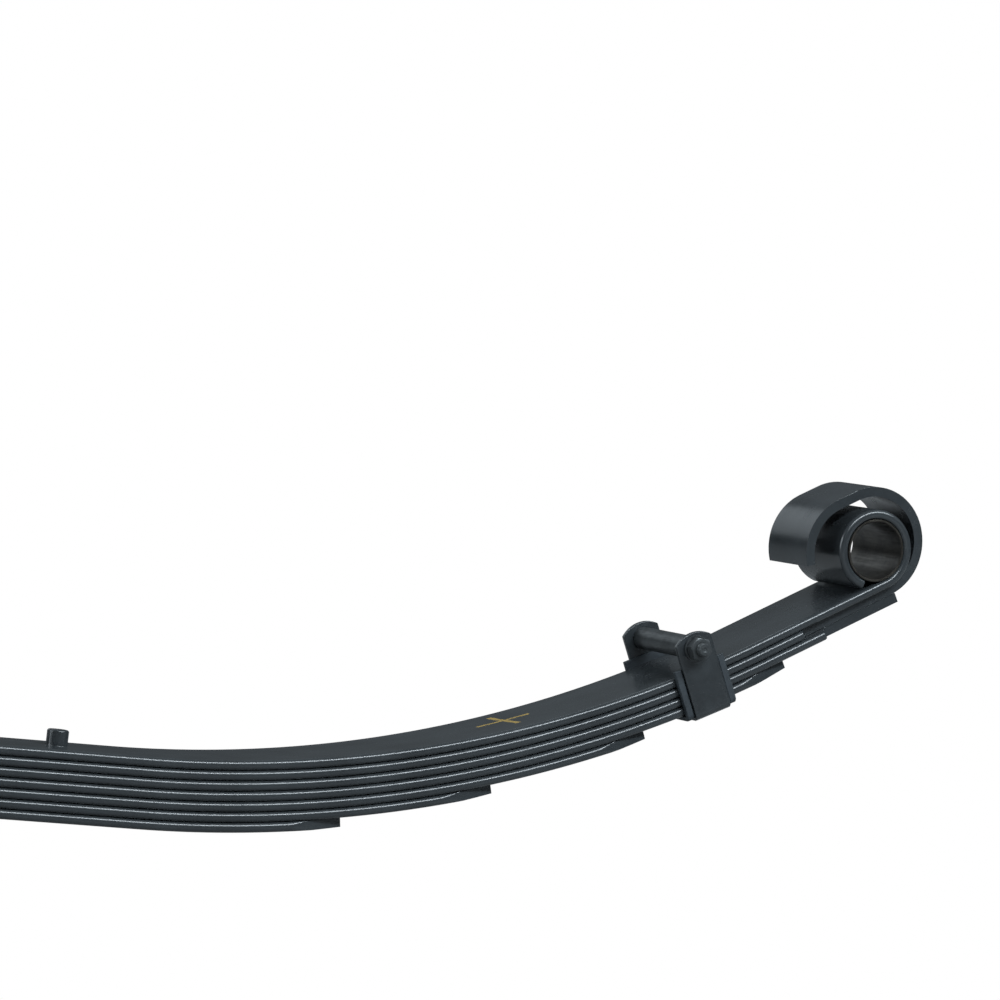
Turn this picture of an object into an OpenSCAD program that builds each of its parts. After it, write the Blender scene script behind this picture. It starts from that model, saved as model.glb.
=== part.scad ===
// Seven-leaf semi-elliptic leaf spring: rolled main eyes, loose wrapper eyes, bolted rebound clips.
// Frame: origin on the centre bolt at the top of the main leaf, +X along the spring, +Y across it, +Z up.
// The spring lies as it is fitted, eyes up. Both halves are alike, the front one on +X. All sizes in mm.

/* [Leaves] */
// Width of every leaf
leaf_w = 63.5; // [50:0.5:80]
// Thickness of every leaf
leaf_t = 6; // [5:0.5:10]
// Paint film left between two leaves
leaf_gap = 0.2; // [0.1:0.05:0.5]
// Half length of the flat seat at the centre
seat_half = 45; // [30:1:80]
// Radius of the main leaf at mid thickness
bend_r = 838; // [600:1:2000]
// Angle that each half bends through
bend_deg = 28.5; // [10:0.5:35]
// Length along the main leaf from the centre to below the eye
half_len = 557; // [400:1:800]
// Length along the leaf from the centre to the tip, for leaves 3 to 7
tip_len = [563, 475, 373, 269, 172];
// Width of the trimmed ends
trim_w = 49; // [40:0.5:60]
// Length of the diamond-cut ends of leaves 4 to 7
trim_len = 32; // [10:1:50]
// Length over which leaves 2 and 3 narrow
neck_len = 4; // [3:1:30]
// Distance from the eye to where leaf 2 starts to narrow
neck_2 = 66; // [55:1:90]
// Distance from the eye to where leaf 3 starts to narrow
neck_3 = 52; // [40:1:80]

/* [Eyes] */
// Bore of the rolled eye
eye_bore_d = 39; // [30:0.5:50]
// Where the roll stops, counted from the far end of the spring over the top
roll_end_deg = 226; // [200:1:235]
// Inside radius of the wrapper eye
wrap_r = 28.9; // [27:0.1:34]
// Offset of the wrapper's outer bend from the eye, along the leaf
wrap_out = 3.3; // [0:0.1:6]
// Offset of the wrapper's inner bend from the eye, along the leaf
wrap_in = -10.5; // [-20:0.5:0]
// Where the wrapper is cut off, counted like the roll
wrap_end_deg = 172; // [120:1:200]
// Inside diameter of the steel sleeve
sleeve_bore_d = 36; // [28:0.5:37]
// Gap round the sleeve
sleeve_clear = 0.05; // [0.02:0.01:0.1]
// Length of the sleeve
sleeve_len = 62.5; // [50:0.5:63.5]

/* [Centre bolt] */
// Diameter of the dowel head
dowel_d = 13; // [10:0.5:20]
// Height of the dowel head above the main leaf
dowel_h = 9.5; // [5:0.5:16]
// Diameter of the shank
shank_d = 10; // [8:1:12]
// Wide end of the countersunk nut, flush with the underside of the pack
centre_nut_d = 22; // [18:0.5:26]
// Narrow end of the countersunk nut
centre_nut_top_d = 15; // [13:0.5:17]
// Height of the nut
centre_nut_h = 5; // [4:0.5:5.5]

/* [Rebound clips] */
// Distance along the main leaf from the centre to the clip
clip_at = 416; // [380:1:440]
// Width of the strap
strap_w = 25; // [20:1:30]
// Thickness of the strap
strap_t = 3; // [2:0.5:5]
// Width of the liner
liner_w = 35; // [28:1:40]
// Thickness of the liner
liner_t = 1.5; // [1:0.5:3]
// Gap between the liner and the leaves
clip_clear = 0.3; // [0.3:0.05:1]
// Height of the clip bolt above the middle of the main leaf
clip_bolt_up = 17.2; // [13:0.1:25]
// Height of the corners of the ears, from the middle of the main leaf
ear_corner_up = 22.4; // [20:0.2:30]
// Height of the arch that tops the ears
ear_arch = 4.7; // [1:0.1:8]
// Diameter of the clip bolt
clip_bolt_d = 8; // [6:1:10]
// Outside diameter of the spacer tube
spacer_d = 14; // [12:0.5:18]
// Shank of the rivet
rivet_d = 7; // [5:0.5:9]

/* [Hidden] */
$fn = 64;
pitch = leaf_t + leaf_gap;
arc_fn = 720;
bend_len = bend_r * bend_deg * PI / 180;
end_len = half_len - seat_half - bend_len;
eye_in = eye_bore_d / 2;
eye_out = eye_in + leaf_t;
eye_mid = eye_in + leaf_t / 2;
wrap_up = wrap_r - eye_out - leaf_gap;
clip_leaf = 3;
stack_down = clip_leaf * pitch + leaf_t / 2;
liner_in = leaf_w / 2 + clip_clear;
strap_in = liner_in + liner_t;
liner_bottom = stack_down + clip_clear;
strap_bottom = liner_bottom + liner_t;
liner_top = leaf_t / 2 + 4.5;
nut_z = -leaf_t - 6 * pitch;
paint = [0.25, 0.28, 0.30];
steel = [0.55, 0.53, 0.50];
plastic = [0.22, 0.24, 0.26];
big = 200;
eps = 0.01;
lap = 1;
skin = 0.002;

// Angle of the main leaf at a length along it, and the point there at mid thickness.
function turn_at(s) = s < seat_half ? 0 : min(bend_deg, (s - seat_half) / bend_r * 180 / PI);
function point_at(s) =
    let (q = turn_at(s), over = max(0, s - seat_half - bend_len))
    [min(s, seat_half) + bend_r * sin(q) + over * cos(q),
     -leaf_t / 2 + bend_r * (1 - cos(q)) + over * sin(q)];

// Children drawn in a side plane (X along, Y up) are stood up and given a width.
module side(width) rotate([90, 0, 0]) linear_extrude(width, center = true) children();

// Children are placed with their X along the front half of the main leaf and their Z square to it.
module along(s) {
    p = point_at(s);
    translate([p[0], 0, p[1]]) rotate([0, -turn_at(s), 0]) children();
}
module at_eye() along(half_len) translate([0, 0, eye_mid]) children();
module both_halves() { children(); mirror([1, 0, 0]) children(); }
module lying(d, len) rotate([90, 0, 0]) cylinder(d = d, h = len, center = true);

// The front half of one leaf from the side, without its eye.
module half_leaf_side(depth, len) {
    q = turn_at(len);
    over = max(0, len - seat_half - bend_len);
    mid = bend_r + depth * pitch;
    translate([0, -leaf_t - depth * pitch]) square([seat_half, leaf_t]);
    translate([seat_half, bend_r - leaf_t / 2]) {
        intersection() {
            difference() {
                circle(mid + leaf_t / 2, $fn = arc_fn);
                circle(mid - leaf_t / 2, $fn = arc_fn);
            }
            polygon([[0, 0], [0, -2 * mid], [2 * mid * tan(q), -2 * mid]]);
        }
        // The straight end starts a little inside the bend and is a hair thinner, so that they join cleanly.
        if (over > 0) rotate(q) translate([-lap, -mid - leaf_t / 2 + skin])
            square([over + lap, leaf_t - 2 * skin]);
    }
}

// Both sides of a leaf taken down to trim_w over a length that ends at the local origin, and from
// there on held at that width for the length past, or cut off if past is 0.
module trim(len, past) {
    slope = (leaf_w - trim_w) / 2 / len;
    over = 2;
    for (k = [-1, 1]) linear_extrude(40, center = true) polygon(concat(
        [[-len - over, k * leaf_w], [-len - over, k * (leaf_w / 2 + slope * over)]],
        past > 0 ? [[0, k * trim_w / 2], [past, k * trim_w / 2], [past, k * leaf_w]]
                 : [[over, k * (trim_w / 2 - slope * over)], [over, k * leaf_w]]));
}

// One half of a leaf: depth counts down from the main leaf, and neck_end is where it reaches trim_w.
module half_leaf(depth, len, neck, neck_end) difference() {
    side(leaf_w) half_leaf_side(depth, len);
    if (neck > 0) along(neck_end) translate([0, 0, -depth * pitch]) trim(neck, neck_end < len ? big : 0);
}

module centre_hole() cylinder(d = shank_d + 0.2, h = big, center = true);

module main_leaf() color(paint) difference() {
    both_halves() union() {
        half_leaf(0, half_len, 0, 0);
        at_eye() side(leaf_w) difference() {
            circle(eye_out, $fn = arc_fn);
            circle(eye_in, $fn = arc_fn);
            polygon([[0, 0], [0, -big], [-big, -big], big * [cos(roll_end_deg), sin(roll_end_deg)]]);
        }
    }
    centre_hole();
}

// The wrapper eye from the side, with the rolled eye's centre at the local origin.
module wrapper_side() {
    module band(x) translate([x, wrap_up]) difference() {
        circle(wrap_r + leaf_t, $fn = arc_fn);
        circle(wrap_r, $fn = arc_fn);
    }
    intersection() {
        band(wrap_out);
        translate([wrap_out, -big]) square([big, 2 * big]);
    }
    translate([wrap_in, wrap_up + wrap_r]) square([wrap_out - wrap_in, leaf_t]);
    intersection() {
        band(wrap_in);
        translate([wrap_in, wrap_up]) polygon([[0, 0], [0, big], [-big, big],
            big * [cos(wrap_end_deg), sin(wrap_end_deg)]]);
    }
}

module second_leaf() color(paint) difference() {
    both_halves() union() {
        half_leaf(1, half_len + wrap_out, neck_len, half_len - neck_2 + neck_len);
        at_eye() side(trim_w) wrapper_side();
    }
    centre_hole();
}

module third_leaf() color(paint) difference() {
    both_halves() half_leaf(2, tip_len[0], neck_len, half_len - neck_3 + neck_len);
    centre_hole();
}

module short_leaf(depth) color(paint) difference() {
    both_halves() half_leaf(depth, tip_len[depth - 2], trim_len, tip_len[depth - 2]);
    centre_hole();
}

module fourth_leaf() color(paint) difference() {
    short_leaf(3);
    both_halves() along(clip_at) translate([0, 0, -stack_down]) rivet_shape(0.15);
}
module fifth_leaf() short_leaf(4);
module sixth_leaf() short_leaf(5);
module seventh_leaf() color(paint) difference() {
    short_leaf(6);
    nut_seat();
}

// Countersink for the nut in the lowest leaf, a little wider than the nut.
module nut_seat() {
    slope = (centre_nut_d - centre_nut_top_d) / centre_nut_h;
    clear = 0.15;
    translate([0, 0, nut_z - 1]) cylinder(d1 = centre_nut_d + 2 * clear + slope,
        d2 = centre_nut_d + 2 * clear - slope * (centre_nut_h + clear), h = centre_nut_h + clear + 1);
}

module hexagon(af, h) cylinder(d = af / cos(30), h = h, $fn = 6);

module centre_bolt() color(paint) {
    cylinder(d = dowel_d, h = dowel_h - 1.5);
    translate([0, 0, dowel_h - 1.5]) cylinder(d1 = dowel_d, d2 = dowel_d - 3, h = 1.5);
    translate([0, 0, nut_z + 0.3]) cylinder(d = shank_d, h = -nut_z - 0.3);
}

// The nut's two blind holes take a pin spanner.
module centre_nut() color(paint) translate([0, 0, nut_z]) difference() {
    cylinder(d1 = centre_nut_d, d2 = centre_nut_top_d, h = centre_nut_h);
    translate([0, 0, -1]) cylinder(d = shank_d, h = centre_nut_h + 2);
    for (k = [-1, 1]) translate([k * 7.6, 0, -1]) cylinder(d = 2.6, h = 3);
}

module eye_sleeve() color(steel) at_eye() difference() {
    lying(eye_bore_d - 2 * sleeve_clear, sleeve_len);
    lying(sleeve_bore_d, big);
}

// U section across the spring (X across, Y up), with its corners rounded outside and inside.
module u_side(half_in, bottom, t, top, r) difference() {
    union() {
        translate([-half_in - t, -bottom - t + r]) square([2 * (half_in + t), top + bottom + t - r]);
        translate([-half_in - t + r, -bottom - t]) square([2 * (half_in + t - r), r]);
        for (k = [-1, 1]) translate([k * (half_in + t - r), -bottom - t + r]) circle(r);
    }
    translate([-half_in, -bottom]) square([2 * half_in, big]);
}
module across(len) rotate([90, 0, 90]) linear_extrude(len, center = true) children();

module clip_strap() color(paint) along(clip_at) difference() {
    intersection() {
        across(strap_w) u_side(strap_in, strap_bottom, strap_t, ear_corner_up + ear_arch, strap_t + 1.5);
        arch_r = (pow(strap_w / 2, 2) + ear_arch * ear_arch) / (2 * ear_arch);
        side(big) union() {
            translate([-strap_w / 2, -big / 2]) square([strap_w, big / 2 + ear_corner_up]);
            intersection() {
                translate([0, ear_corner_up + ear_arch - arch_r]) circle(arch_r, $fn = 128);
                translate([-strap_w / 2, ear_corner_up - eps]) square([strap_w, 2 * ear_arch]);
            }
        }
    }
    translate([0, 0, clip_bolt_up]) lying(clip_bolt_d + 0.5, big);
    translate([0, 0, -strap_bottom - strap_t - 1]) cylinder(d = rivet_d + 0.2, h = strap_t + 2);
}

module clip_liner() color(plastic) along(clip_at) difference() {
    union() {
        across(liner_w) u_side(liner_in, liner_bottom, liner_t, liner_top, liner_t + 0.5);
        lip = (liner_w - strap_w) / 2 - 0.4;
        for (k = [-1, 1]) translate([k * (liner_w - lip) / 2, 0, 0])
            across(lip) u_side(liner_in, liner_bottom, liner_t + 1.6, liner_top, liner_t + 1.6);
    }
    translate([0, 0, -liner_bottom - liner_t - 1]) cylinder(d = rivet_d + 0.2, h = liner_t + 2);
}

module clip_spacer() color(steel) along(clip_at) translate([0, 0, clip_bolt_up]) difference() {
    lying(spacer_d, 2 * strap_in);
    lying(clip_bolt_d + 0.4, big);
}

// Bolt along -Y: hexagon head on the far ear, washer, nut and a short end on the near ear.
ear_out = strap_in + strap_t;
module clip_bolt() color(steel) along(clip_at) translate([0, 0, clip_bolt_up]) {
    translate([0, ear_out, 0]) rotate([-90, 0, 0]) hexagon(13, 5.3);
    rotate([90, 0, 0]) translate([0, 0, -ear_out]) {
        cylinder(d = clip_bolt_d, h = 2 * ear_out + 11);
        translate([0, 0, 2 * ear_out + 11]) cylinder(d1 = clip_bolt_d, d2 = clip_bolt_d - 2, h = 1);
    }
}
module clip_washer() color(steel) along(clip_at)
    translate([0, -ear_out, clip_bolt_up]) rotate([90, 0, 0]) difference() {
        cylinder(d = 16, h = 1.6);
        translate([0, 0, -1]) cylinder(d = clip_bolt_d + 0.4, h = 4);
    }
module clip_nut() color(steel) along(clip_at)
    translate([0, -ear_out - 1.6, clip_bolt_up]) rotate([90, 0, 0]) difference() {
        hexagon(13, 6.5);
        translate([0, 0, -1]) cylinder(d = clip_bolt_d, h = 9);
    }

// Rivet with its countersunk head in the leaf, at the local origin, and a round head below the strap.
module rivet_shape(grow) {
    below = clip_clear + liner_t + strap_t;
    translate([0, 0, leaf_t - 3]) cylinder(d1 = rivet_d + 2 * grow, d2 = rivet_d + 6 + 2 * grow, h = 3 - 0.2 + grow);
    translate([0, 0, -below - eps]) cylinder(d = rivet_d + 2 * grow, h = below + leaf_t - 3 + 2 * eps);
}
module clip_rivet() color(steel) along(clip_at) translate([0, 0, -stack_down]) {
    rivet_shape(0);
    translate([0, 0, -clip_clear - liner_t - strap_t - 3.5]) cylinder(d1 = 8, d2 = 14, h = 3.5);
}

main_leaf();
second_leaf();
third_leaf();
fourth_leaf();
fifth_leaf();
sixth_leaf();
seventh_leaf();
centre_bolt();
centre_nut();
eye_sleeve();  // front_eye_sleeve
mirror([1, 0, 0]) eye_sleeve();  // rear_eye_sleeve
clip_strap();  // front_clip_strap
clip_liner();  // front_clip_liner
clip_spacer();  // front_clip_spacer
clip_bolt();  // front_clip_bolt
clip_washer();  // front_clip_washer
clip_nut();  // front_clip_nut
clip_rivet();  // front_clip_rivet
mirror([1, 0, 0]) clip_strap();  // rear_clip_strap
mirror([1, 0, 0]) clip_liner();  // rear_clip_liner
mirror([1, 0, 0]) clip_spacer();  // rear_clip_spacer
mirror([1, 0, 0]) clip_bolt();  // rear_clip_bolt
mirror([1, 0, 0]) clip_washer();  // rear_clip_washer
mirror([1, 0, 0]) clip_nut();  // rear_clip_nut
mirror([1, 0, 0]) clip_rivet();  // rear_clip_rivet
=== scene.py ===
# %% [markdown]
# # A seven-leaf spring with rolled eyes, wrapper eyes and bolted clips
# The imported solids give every size and place. This script adds what a spring shop and a paint line add:
# mill-rounded leaf edges, sheared ends, threads, chamfers, and a satin charcoal paint over everything but the
# sleeves. Each piece is built where it belongs, in metres, with +X towards the front eye, +Y across the spring
# and +Z up. The fittings then ride on the bodies of the imported model, and the leaves stay where they are built.

# %% Load the frame
import math

import bmesh
import bpy
from mathutils import Matrix, Vector


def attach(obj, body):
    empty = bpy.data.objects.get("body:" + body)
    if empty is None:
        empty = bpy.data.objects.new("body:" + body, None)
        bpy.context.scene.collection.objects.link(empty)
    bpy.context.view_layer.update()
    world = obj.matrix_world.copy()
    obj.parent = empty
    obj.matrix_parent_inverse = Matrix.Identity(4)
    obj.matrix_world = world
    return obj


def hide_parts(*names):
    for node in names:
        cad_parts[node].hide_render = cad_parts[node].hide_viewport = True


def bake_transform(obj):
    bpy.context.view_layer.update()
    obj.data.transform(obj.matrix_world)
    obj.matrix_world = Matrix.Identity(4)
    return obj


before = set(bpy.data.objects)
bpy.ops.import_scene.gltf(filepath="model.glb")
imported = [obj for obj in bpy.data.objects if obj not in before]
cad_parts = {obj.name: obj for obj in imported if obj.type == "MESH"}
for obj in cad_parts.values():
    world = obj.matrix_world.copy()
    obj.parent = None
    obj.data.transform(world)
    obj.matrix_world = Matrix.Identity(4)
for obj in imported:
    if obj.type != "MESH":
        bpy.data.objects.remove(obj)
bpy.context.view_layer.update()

# %% [markdown]
# ## Sizes
# A spring is drawn from a few numbers: the stock, the flat seat that is clamped to the axle, the radius that
# the leaves are bent to, and the length to the eye. The leaves share one centre of bend, so each deeper leaf
# has a radius one pitch larger, and they nest.

# %% Sizes of the spring
MM = 0.001
LEAF_W, LEAF_T, PITCH = 63.5 * MM, 6 * MM, 6.2 * MM
SEAT, BEND_R, BEND = 45 * MM, 838 * MM, math.radians(28.5)
BENT_LEN = BEND_R * BEND
EYE_AT = 557 * MM
EYE_IN, ROLL_R = 19.5 * MM, 22.5 * MM
ROLL_END = math.radians(226)
WRAP_R, WRAP_OUT, WRAP_IN, WRAP_UP = 31.9 * MM, 3.3 * MM, -10.5 * MM, 3.2 * MM
WRAP_END = math.radians(172)
TRIM_W, TRIM_LEN, NECK_LEN = 49 * MM, 32 * MM, 4 * MM
NECK_START = {1: 491 * MM, 2: 505 * MM}
TIPS = {2: 563 * MM, 3: 475 * MM, 4: 373 * MM, 5: 269 * MM, 6: 172 * MM}
LEAF_NAMES = ["main", "second", "third", "fourth", "fifth", "sixth", "seventh"]
MILL_EDGE = 2.7 * MM
CLIP_AT = 416 * MM
HALVES = {"front": 1, "rear": -1}


def turn_at(run):
    """Angle of the leaves at a length along the main leaf."""
    return min(BEND, max(0.0, (run - SEAT) / BEND_R))


def point_at(run, lift=0.0):
    """Point at a length along the main leaf, lifted square to it from mid thickness: (x, z)."""
    q = turn_at(run)
    over = max(0.0, run - SEAT - BENT_LEN)
    return (min(run, SEAT) + (BEND_R - lift) * math.sin(q) + over * math.cos(q),
            -LEAF_T / 2 + BEND_R - (BEND_R - lift) * math.cos(q) + over * math.sin(q))


def at_eye(across, up):
    """Point in the eye's own frame, which lies along the end of the leaf: (x, z)."""
    x, z = point_at(EYE_AT + across, ROLL_R + up)
    return x, z


print("eye centre at x %.4f, z %.4f" % at_eye(0, 0))

# %% [markdown]
# ## Finishes
# One satin charcoal paint covers leaves, straps and the centre bolt. On the real spring it is a thin dipped
# coat: slightly uneven in tone, with faint run marks along the leaves, fine dust, and a soft orange peel that
# breaks up the gloss. These effects are shader groups, built once and used by each material with its own
# values. A pattern on a leaf reads the leaf's own flat coordinates, as if it were unbent, so it follows the
# curve and stays put when the spring flexes.

# %% Helper that adds nodes
def add(tree, kind, inputs=None, **settings):
    """One node with its settings, and its inputs set to values or linked from sockets."""
    node = tree.nodes.new(kind)
    for key, value in settings.items():
        setattr(node, key, value)
    for key, value in (inputs or {}).items():
        if isinstance(value, bpy.types.NodeSocket):
            tree.links.new(value, node.inputs[key])
        else:
            node.inputs[key].default_value = value
    return node


def group(name, inputs, outputs):
    """An empty shader group with named float, vector and colour sockets."""
    tree = bpy.data.node_groups.new(name, "ShaderNodeTree")
    for label, kind, value in inputs:
        socket = tree.interface.new_socket(label, in_out="INPUT", socket_type=kind)
        if value is not None:
            socket.default_value = value
    for label, kind in outputs:
        tree.interface.new_socket(label, in_out="OUTPUT", socket_type=kind)
    return tree, tree.nodes.new("NodeGroupInput"), tree.nodes.new("NodeGroupOutput")


FLOAT, VECTOR, COLOUR = "NodeSocketFloat", "NodeSocketVector", "NodeSocketColor"


def noise(tree, place, scale, detail=4.0, rough=0.55):
    return add(tree, "ShaderNodeTexNoise",
               {"Vector": place, "Scale": scale, "Detail": detail, "Roughness": rough}).outputs["Fac"]


def spread(tree, value, low, high, to_low=0.0, to_high=1.0):
    """A value stretched from low..high to to_low..to_high."""
    return add(tree, "ShaderNodeMapRange", {"Value": value, "From Min": low, "From Max": high,
                                            "To Min": to_low, "To Max": to_high}).outputs["Result"]


# %% Paint film group: mottle, run marks, dust and orange peel
def paint_film_group():
    tree, given, out = group("paint_film", [("Place", VECTOR, None), ("Mottle scale", FLOAT, 25.0),
                                            ("Run marks", FLOAT, 0.5), ("Peel scale", FLOAT, 900.0)],
                             [("Tone", FLOAT), ("Dust", FLOAT), ("Rough", FLOAT), ("Height", FLOAT)])
    place = given.outputs["Place"]
    wide = noise(tree, place, given.outputs["Mottle scale"])
    drawn = add(tree, "ShaderNodeVectorMath", {0: place, 1: (6.0, 90.0, 90.0)}, operation="MULTIPLY")
    marks = spread(tree, noise(tree, drawn.outputs[0], 1.0, 3.0), 0.35, 0.7)
    marked = add(tree, "ShaderNodeMath", {0: marks, 1: given.outputs["Run marks"]}, operation="MULTIPLY")
    tone = add(tree, "ShaderNodeMath", {0: spread(tree, wide, 0.3, 0.7), 1: marked.outputs[0]}, operation="ADD")
    specks = noise(tree, place, 1400.0, 2.0)
    peel = noise(tree, place, given.outputs["Peel scale"], 2.0, 0.4)
    tree.links.new(tone.outputs[0], out.inputs["Tone"])
    tree.links.new(spread(tree, specks, 0.66, 0.76), out.inputs["Dust"])
    tree.links.new(spread(tree, noise(tree, place, 60.0), 0.3, 0.7), out.inputs["Rough"])
    tree.links.new(peel, out.inputs["Height"])
    return tree


# %% Drawn steel group: fine lines along one axis, and stains
def drawn_steel_group():
    tree, given, out = group("drawn_steel", [("Place", VECTOR, None), ("Stretch", VECTOR, (1.0, 1.0, 1.0)),
                                             ("Stain scale", FLOAT, 90.0)],
                             [("Lines", FLOAT), ("Stain", FLOAT)])
    place = given.outputs["Place"]
    drawn = add(tree, "ShaderNodeVectorMath", {0: place, 1: given.outputs["Stretch"]}, operation="MULTIPLY")
    tree.links.new(noise(tree, drawn.outputs[0], 1.0, 3.0, 0.6), out.inputs["Lines"])
    stain = noise(tree, place, given.outputs["Stain scale"], 5.0, 0.6)
    tree.links.new(spread(tree, stain, 0.42, 0.68), out.inputs["Stain"])
    return tree


PAINT_FILM, DRAWN_STEEL = paint_film_group(), drawn_steel_group()
print("shader groups:", PAINT_FILM.name, DRAWN_STEEL.name)


# %% Materials
def start_material(name, metallic, specular=0.5):
    """A material with a Principled shader, and the numbers that are the same all over it."""
    material = bpy.data.materials.new(name)
    material.use_nodes = True
    tree = material.node_tree
    shader = tree.nodes["Principled BSDF"]
    shader.inputs["Metallic"].default_value = metallic
    shader.inputs["Specular IOR Level"].default_value = specular
    return material, tree, shader


def mix(tree, amount, first, second):
    node = add(tree, "ShaderNodeMix", {"Factor": amount}, data_type="RGBA")
    for index, colour in ((6, first), (7, second)):
        if isinstance(colour, bpy.types.NodeSocket):
            tree.links.new(colour, node.inputs[index])
        else:
            node.inputs[index].default_value = colour
    return node.outputs[2]


def grey(value, blue=1.0, red=1.0):
    return (value * red, value, value * blue, 1.0)


PAINT_DARK, PAINT_LIGHT = grey(0.018, 1.10, 0.86), grey(0.030, 1.09, 0.87)
DUST_TONE = grey(0.11)


def painted(name, leaf=False, mark=None):
    """Satin charcoal paint. A leaf reads its flat coordinates, and other pieces their own place."""
    material, tree, shader = start_material(name, 0.0)
    if leaf:
        place = add(tree, "ShaderNodeAttribute", attribute_name="laid_flat").outputs["Vector"]
    else:
        place = add(tree, "ShaderNodeTexCoord").outputs["Object"]
    film = add(tree, "ShaderNodeGroup", node_tree=PAINT_FILM)
    tree.links.new(place, film.inputs["Place"])
    film.inputs["Mottle scale"].default_value = 22.0 if leaf else 70.0
    film.inputs["Run marks"].default_value = 0.45 if leaf else 0.15
    film.inputs["Peel scale"].default_value = 800.0
    colour = mix(tree, film.outputs["Tone"], PAINT_DARK, PAINT_LIGHT)
    colour = mix(tree, spread(tree, film.outputs["Dust"], 0.0, 1.0, 0.0, 0.35), colour, DUST_TONE)
    if mark:
        colour = mark(tree, place, colour)
    tree.links.new(colour, shader.inputs["Base Color"])
    tree.links.new(spread(tree, film.outputs["Rough"], 0.0, 1.0, 0.21, 0.29), shader.inputs["Roughness"])
    bump = add(tree, "ShaderNodeBump", {"Strength": 0.16, "Distance": 0.0002, "Height": film.outputs["Height"]})
    tree.links.new(bump.outputs["Normal"], shader.inputs["Normal"])
    return material


# %% [markdown]
# ### The inspection mark
# A fitter crosses one spring of a set with a paint pen: two quick strokes of gold-yellow paint. Each stroke is
# a rounded bar in the leaf's flat coordinates, and a little noise frays its edges where the pen skips.

# %% Two pen strokes on the main leaf
PEN_GOLD = (0.36, 0.24, 0.055, 1.0)
STROKES = [((0.2945, 0.0010), (0.0185, 0.0014), 0.06), ((0.2950, 0.0012), (0.0017, 0.0172), 0.12)]


def pen_mark(tree, place, under):
    worn = noise(tree, place, 900.0, 3.0)
    wave = spread(tree, noise(tree, place, 160.0, 2.0), 0.3, 0.7, -0.0005, 0.0005)
    total = None
    for (along, across), (half_long, half_wide), turn in STROKES:
        laid = add(tree, "ShaderNodeMapping", {"Vector": place, "Location": (along, across, 0.0),
                                               "Rotation": (0.0, 0.0, turn)}, vector_type="TEXTURE")
        parts = add(tree, "ShaderNodeSeparateXYZ", {0: laid.outputs[0]})
        inside = None
        for axis, half in (("X", half_long), ("Y", half_wide)):
            shifted = add(tree, "ShaderNodeMath", {0: parts.outputs[axis], 1: wave}, operation="ADD")
            size = add(tree, "ShaderNodeMath", {0: shifted.outputs[0]}, operation="ABSOLUTE")
            within = spread(tree, size.outputs[0], half + 0.0003, half - 0.0003)
            inside = within if inside is None else add(
                tree, "ShaderNodeMath", {0: inside, 1: within}, operation="MULTIPLY").outputs[0]
        total = inside if total is None else add(
            tree, "ShaderNodeMath", {0: total, 1: inside}, operation="MAXIMUM").outputs[0]
    covered = add(tree, "ShaderNodeMath", {0: total, 1: spread(tree, worn, 0.25, 0.5, 0.45, 1.0)},
                  operation="MULTIPLY")
    return mix(tree, covered.outputs[0], under, PEN_GOLD)


LEAF_PAINT = painted("leaf_paint", leaf=True)
MARKED_PAINT = painted("leaf_paint_with_pen_mark", leaf=True, mark=pen_mark)
FITTING_PAINT = painted("fitting_paint")


def steel(name, dark, light, stretch, roughness, metallic=0.85):
    """Bare or thinly coated steel with drawn lines and stains."""
    material, tree, shader = start_material(name, metallic)
    place = add(tree, "ShaderNodeTexCoord").outputs["Object"]
    grain = add(tree, "ShaderNodeGroup", node_tree=DRAWN_STEEL)
    tree.links.new(place, grain.inputs["Place"])
    grain.inputs["Stretch"].default_value = stretch
    tree.links.new(mix(tree, grain.outputs["Stain"], light, dark), shader.inputs["Base Color"])
    tree.links.new(spread(tree, grain.outputs["Lines"], 0.3, 0.7, *roughness), shader.inputs["Roughness"])
    bump = add(tree, "ShaderNodeBump", {"Strength": 0.2, "Distance": 0.0001, "Height": grain.outputs["Lines"]})
    tree.links.new(bump.outputs["Normal"], shader.inputs["Normal"])
    return material


SLEEVE_STEEL = steel("sleeve_steel", (0.016, 0.014, 0.012, 1.0), (0.058, 0.052, 0.044, 1.0),
                     (700.0, 40.0, 700.0), (0.28, 0.46), 0.75)
CLIP_STEEL = steel("phosphated_steel", (0.022, 0.025, 0.026, 1.0), (0.055, 0.06, 0.062, 1.0),
                   (900.0, 200.0, 900.0), (0.30, 0.5), 0.55)


def rubber(name):
    """Black moulded liner: matt, with a fine mould grain and a bloom of grey."""
    material, tree, shader = start_material(name, 0.0, 0.4)
    place = add(tree, "ShaderNodeTexCoord").outputs["Object"]
    film = add(tree, "ShaderNodeGroup", node_tree=PAINT_FILM)
    tree.links.new(place, film.inputs["Place"])
    film.inputs["Mottle scale"].default_value = 110.0
    film.inputs["Run marks"].default_value = 0.0
    film.inputs["Peel scale"].default_value = 2500.0
    colour = mix(tree, film.outputs["Tone"], grey(0.020, 1.2, 0.78), grey(0.036, 1.18, 0.8))
    tree.links.new(colour, shader.inputs["Base Color"])
    tree.links.new(spread(tree, film.outputs["Rough"], 0.0, 1.0, 0.5, 0.66), shader.inputs["Roughness"])
    bump = add(tree, "ShaderNodeBump", {"Strength": 0.3, "Distance": 0.0001, "Height": film.outputs["Height"]})
    tree.links.new(bump.outputs["Normal"], shader.inputs["Normal"])
    return material


LINER = rubber("moulded_liner")
print("materials:", [m.name for m in bpy.data.materials])

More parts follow.
